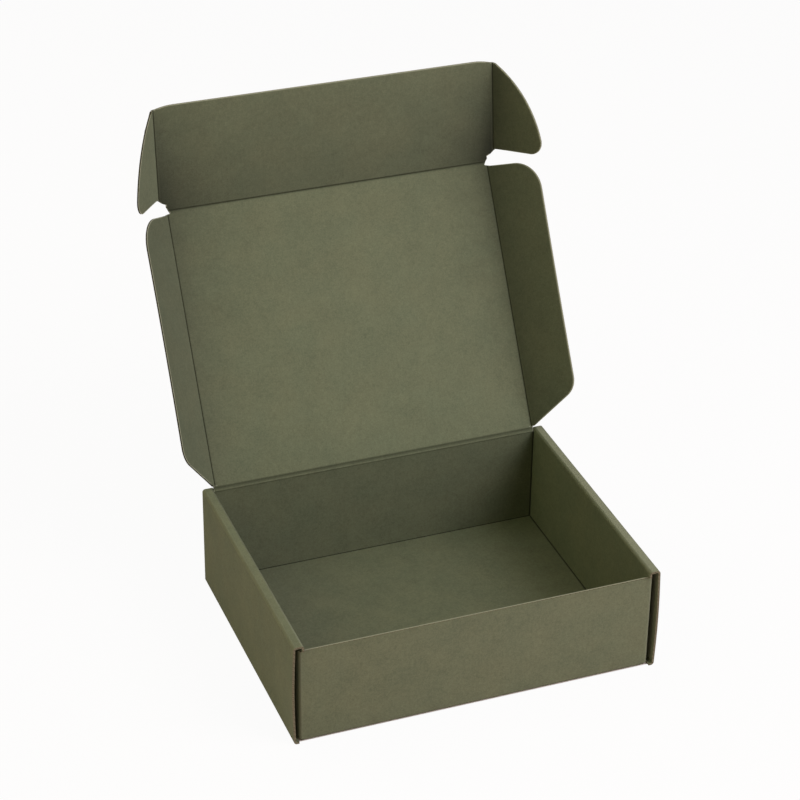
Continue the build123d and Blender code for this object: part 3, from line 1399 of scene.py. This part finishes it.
@dataclass(frozen=True)
class Lid:
    """The lid, its two wings and the creases between them.

    Attributes:
        hinge_reach: How far the hinge's strip goes into the back wall and into the lid.
        bow: How far the lid's middle stands out.
        ink: The painted light and shade on the lid.
        wings: Its wings. The left one's painted light and shade starts at its far end.
    """

    hinge_reach: tuple[float, float] = (1.0 * MM, 1.6 * MM)
    bow: float = -0.5 * MM
    ink: InkSpread = InkSpread(0.18, -0.12, (0.2, 0.55), (1.0, 0.65))
    wings: SideFlaps = SideFlaps(
        "wing", 0.6 * MM, (InkSpread(-0.23, 0.14, (-0.1, -0.1)), InkSpread(-0.06, -0.12, (0.33, 0.33)))
    )

    def build(self, board: Board) -> FlatPanel:
        """Makes the lid, both wings and their creases.

        Args:
            board: The sheet's finishes.

        Returns:
            The lid's panel.
        """
        origin = Vector(joint("lid_hinge")["pos_m"])
        along = Vector(joint("front_flap_hinge")["pos_m"]) - origin
        plane = PanelPlane(origin, ACROSS, along.normalized())
        trims = (
            Trim(1, self.hinge_reach[1], 1),
            Trim(1, along.length - CREASE_REACH, -1),
            *self.wings.trims(),
        )
        lid = FlatPanel("lid_panel", "lid", "board_lid", plane, trims, self.bow, ink=self.ink)
        lid.build(board)
        self.build_hinge(board, lid)
        self.wings.build(board, lid)
        return lid

    def build_hinge(self, board: Board, lid: FlatPanel) -> None:
        """Makes the crease between the back wall and the lid, with its bead along the wall's top.

        Args:
            board: The sheet's finishes.
            lid: The lid's panel.
        """
        half_width = joint("right_wing_hinge")["pos_m"][0] + SHEET.half
        width = (-half_width, half_width)
        fold = 90 - joint("lid_hinge")["range_deg"][1]
        # dark=0.6 is the painted shade in the hinge's groove.
        Crease(
            "lid_hinge_crease", ("tray", "lid"), "board_tray", lid.plane.origin, ACROSS, UP, FRONT, fold,
            width, width, self.hinge_reach, groove_width=0.6 * MM, groove_at=0.3 * MM, dark=0.6,
            bead=0.45 * MM, skirt=2.0 * MM, panels=(None, lid)
        ).build(board)


@dataclass(frozen=True)
class FrontFlap:
    """The front flap, its two ears and the creases between them and to the lid.

    Attributes:
        bow: How far the flap's middle stands out.
        ink: The painted light and shade on the flap.
        dark: How dark the painted shade is in the crease to the lid.
        ears: Its ears.
    """

    bow: float = -0.5 * MM
    ink: InkSpread = InkSpread(-0.09, 0.2, (0.75, 0.2), (1.0, 0.75))
    dark: float = 0.9
    ears: SideFlaps = SideFlaps(
        "ear", 0.14 * MM, (InkSpread(-0.1, 0.0, (-0.1, -0.1)), InkSpread(-0.04, 0.0, (0.5, 0.5))), 1.3
    )

    def build(self, board: Board, lid: FlatPanel) -> None:
        """Makes the flap, both ears and their creases.

        Args:
            board: The sheet's finishes.
            lid: The lid's panel, which the flap hangs on.
        """
        hinge = joint("front_flap_hinge")
        plane = PanelPlane(Vector(hinge["pos_m"]), ACROSS, Vector(joint("left_ear_hinge")["axis"]))
        trims = (Trim(1, CREASE_REACH, 1), *self.ears.trims())
        flap = FlatPanel("front_flap", "front_flap", "board_flap", plane, trims, self.bow, ink=self.ink)
        flap.build(board)
        fold = -hinge["range_deg"][0]
        Crease(
            "front_flap_crease", ("lid", "front_flap"), "board_flap", plane.origin, ACROSS,
            lid.plane.along, lid.plane.inside, fold, lid.spans[1], flap.spans[0],
            dark=self.dark, panels=(lid, flap)
        ).build(board)
        self.ears.build(board, flap)


@dataclass(frozen=True)
class Lamp:
    """A soft rectangular lamp that looks at a point of the box.

    Attributes:
        name: The lamp's name.
        azimuth: Where it stands round the box, in degrees, 0 being in front and 90 on the right.
        elevation: How high it stands, in degrees.
        power: Its power in watts.
        colour: Its light's colour.
        distance: How far from its target it stands.
        size: Its width and height.
    """

    name: str
    azimuth: float
    elevation: float
    power: float
    colour: str = WHITE
    distance: float = 1.7
    size: float = 1.0

    def hang(self, target: Vector) -> None:
        """Hangs the lamp and turns it to its target.

        Args:
            target: The point that it looks at.
        """
        away = turned(turned(FRONT, ACROSS, self.azimuth), UP, self.elevation)
        light = bpy.data.lights.new(self.name, "AREA")
        light.size = self.size
        light.energy = self.power
        light.color = linear(self.colour)[:3]
        lamp = bpy.data.objects.new(self.name, light)
        lamp.location = target + away * self.distance
        lamp.rotation_euler = away.to_track_quat("Z", "Y").to_euler()
        bpy.context.scene.collection.objects.link(lamp)


@dataclass(frozen=True)
class Studio:
    """The plain white studio: floor, world light, lamps and the camera at the photograph's angle.

    Attributes:
        camera_place: Where the camera stands.
        heading: The camera's turn from looking straight back, in degrees to the right.
        pitch: How far it looks down, in degrees.
        roll: Its turn round its own axis, in degrees.
        focal_pixels: Its focal length in pixels of the 800-pixel picture.
        picture: The picture's width in pixels.
        sensor: The sensor's width in millimetres.
        world_strength: Strength of the even light from all around.
        world_colour: Its colour, warm as the light that a room throws back.
        floor_size: Side of the floor.
        floor_drop: How far it lies below the box.
        floor_colour: Colour of the paper on the floor.
        floor_glow: How much of the floor's look is plain white to the camera. The rest keeps the shadow.
        half_footprint: Half the tray's width and depth. Under it the floor is dark, also through the slots.
        lamps: A soft key on the right, a low fill under it, and weak ones on the left and behind.
    """

    camera_place: tuple[float, float, float] = (-505.0 * MM, -1260.6 * MM, 974.8 * MM)
    heading: float = 21.08
    pitch: float = 30.75
    roll: float = 0.79
    focal_pixels: float = 2570.7
    picture: int = 800
    sensor: float = 36.0
    world_strength: float = 0.08
    world_colour: str = "#FFF5BC"
    floor_size: float = 8.0
    floor_drop: float = 0.1 * MM
    floor_colour: str = "#FAE8E4"
    floor_glow: float = 0.95
    half_footprint: tuple[float, float] = (118.0 * MM, 90.0 * MM)
    lamps: tuple[Lamp, ...] = (
        Lamp("key_lamp", 45.0, 42.0, 17.5, "#F7F9FF"),
        Lamp("low_fill_lamp", 45.0, 12.0, 6.4),
        Lamp("left_lamp", -75.0, 42.0, 5.0, "#F4FFBE"),
        Lamp("back_left_lamp", -130.0, 42.0, 4.6, "#FFECDA"),
        Lamp("top_back_lamp", 180.0, 72.0, 3.2),
    )

    def set_up(self) -> None:
        """Makes the camera, the light and the floor."""
        bpy.context.scene.view_settings.view_transform = "Standard"
        self.place_camera()
        self.light_world()
        self.lay_floor()
        middle = (Vector(cad_box[0]) + Vector(cad_box[1])) / 2
        for lamp in self.lamps:
            lamp.hang(middle)

    def place_camera(self) -> None:
        """Puts the camera where the photograph was taken from."""
        data = bpy.data.cameras.new("camera")
        data.sensor_width = self.sensor
        data.lens = self.focal_pixels / self.picture * self.sensor
        camera = bpy.data.objects.new("camera", data)
        turns = (("Z", -self.heading), ("X", 90 - self.pitch), ("Z", self.roll))
        pose = Matrix.Translation(self.camera_place)
        for axis, angle in turns:
            pose = pose @ Matrix.Rotation(math.radians(angle), 4, axis)
        camera.matrix_world = pose
        bpy.context.scene.collection.objects.link(camera)
        bpy.context.scene.camera = camera

    @staticmethod
    def seen_directly(tree: bpy.types.NodeTree) -> Socket:
        """Tells what the camera sees from what only lights the box.

        Args:
            tree: The node tree of a material or the world.

        Returns:
            The socket that is 1 for what is seen, also in gloss and through glass, and 0 for light.
        """
        path = add_node(tree, "LightPath").outputs
        gloss = math_node(tree, "MAXIMUM", path["Is Glossy Ray"], path["Is Transmission Ray"])
        return math_node(tree, "MAXIMUM", path["Is Camera Ray"], gloss)

    def light_world(self) -> None:
        """Lights the box evenly from all around, in front of a white background."""
        world = bpy.data.worlds.new("studio")
        world.use_nodes = True
        tree = world.node_tree
        tree.nodes.clear()
        light = {"Color": linear(self.world_colour), "Strength": self.world_strength}
        around = add_node(tree, "Background", light).outputs[0]
        white = add_node(tree, "Background", {"Color": linear(WHITE), "Strength": 1.0}).outputs[0]
        shown = add_node(tree, "MixShader", {0: self.seen_directly(tree), 1: around, 2: white})
        add_node(tree, "OutputWorld", {"Surface": shown.outputs[0]})
        bpy.context.scene.world = world

    def lay_floor(self) -> None:
        """Lays the pale floor that the box stands on."""
        bm = bmesh.new()
        bmesh.ops.create_grid(bm, x_segments=1, y_segments=1, size=self.floor_size / 2)
        bmesh.ops.translate(bm, verts=bm.verts, vec=-self.floor_drop * UP)
        floor = finish_mesh(bm, "floor")
        material, tree = new_material("matte_white_paper_floor")
        paper = add_node(tree, "BsdfDiffuse", {"Color": linear(self.floor_colour)}).outputs[0]
        white = add_node(tree, "Emission", {"Color": linear(WHITE), "Strength": 1.0}).outputs[0]
        place = add_node(tree, "SeparateXYZ", {0: add_node(tree, "TexCoord").outputs["Object"]}).outputs
        outside = [
            math_node(tree, "GREATER_THAN", math_node(tree, "ABSOLUTE", place[i]), self.half_footprint[i])
            for i in (0, 1)
        ]
        seen_clear = math_node(
            tree, "MULTIPLY", self.seen_directly(tree), math_node(tree, "MAXIMUM", *outside)
        )
        glow = math_node(tree, "MULTIPLY", seen_clear, self.floor_glow)
        shown = add_node(tree, "MixShader", {0: glow, 1: paper, 2: white})
        add_node(tree, "OutputMaterial", {"Surface": shown.outputs[0]})
        floor.data.materials.append(material)


def main() -> None:
    """Builds the box in its studio."""
    logging.basicConfig(level=logging.INFO, format="%(name)s: %(message)s")
    board = Board(LinerFinish().material(), CutEdgeFinish().material())
    Tray(*map(Vector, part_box("tray"))).build(board)
    lid = Lid().build(board)
    FrontFlap().build(board, lid)
    Studio().set_up()


if __name__ == "__main__":
    main()
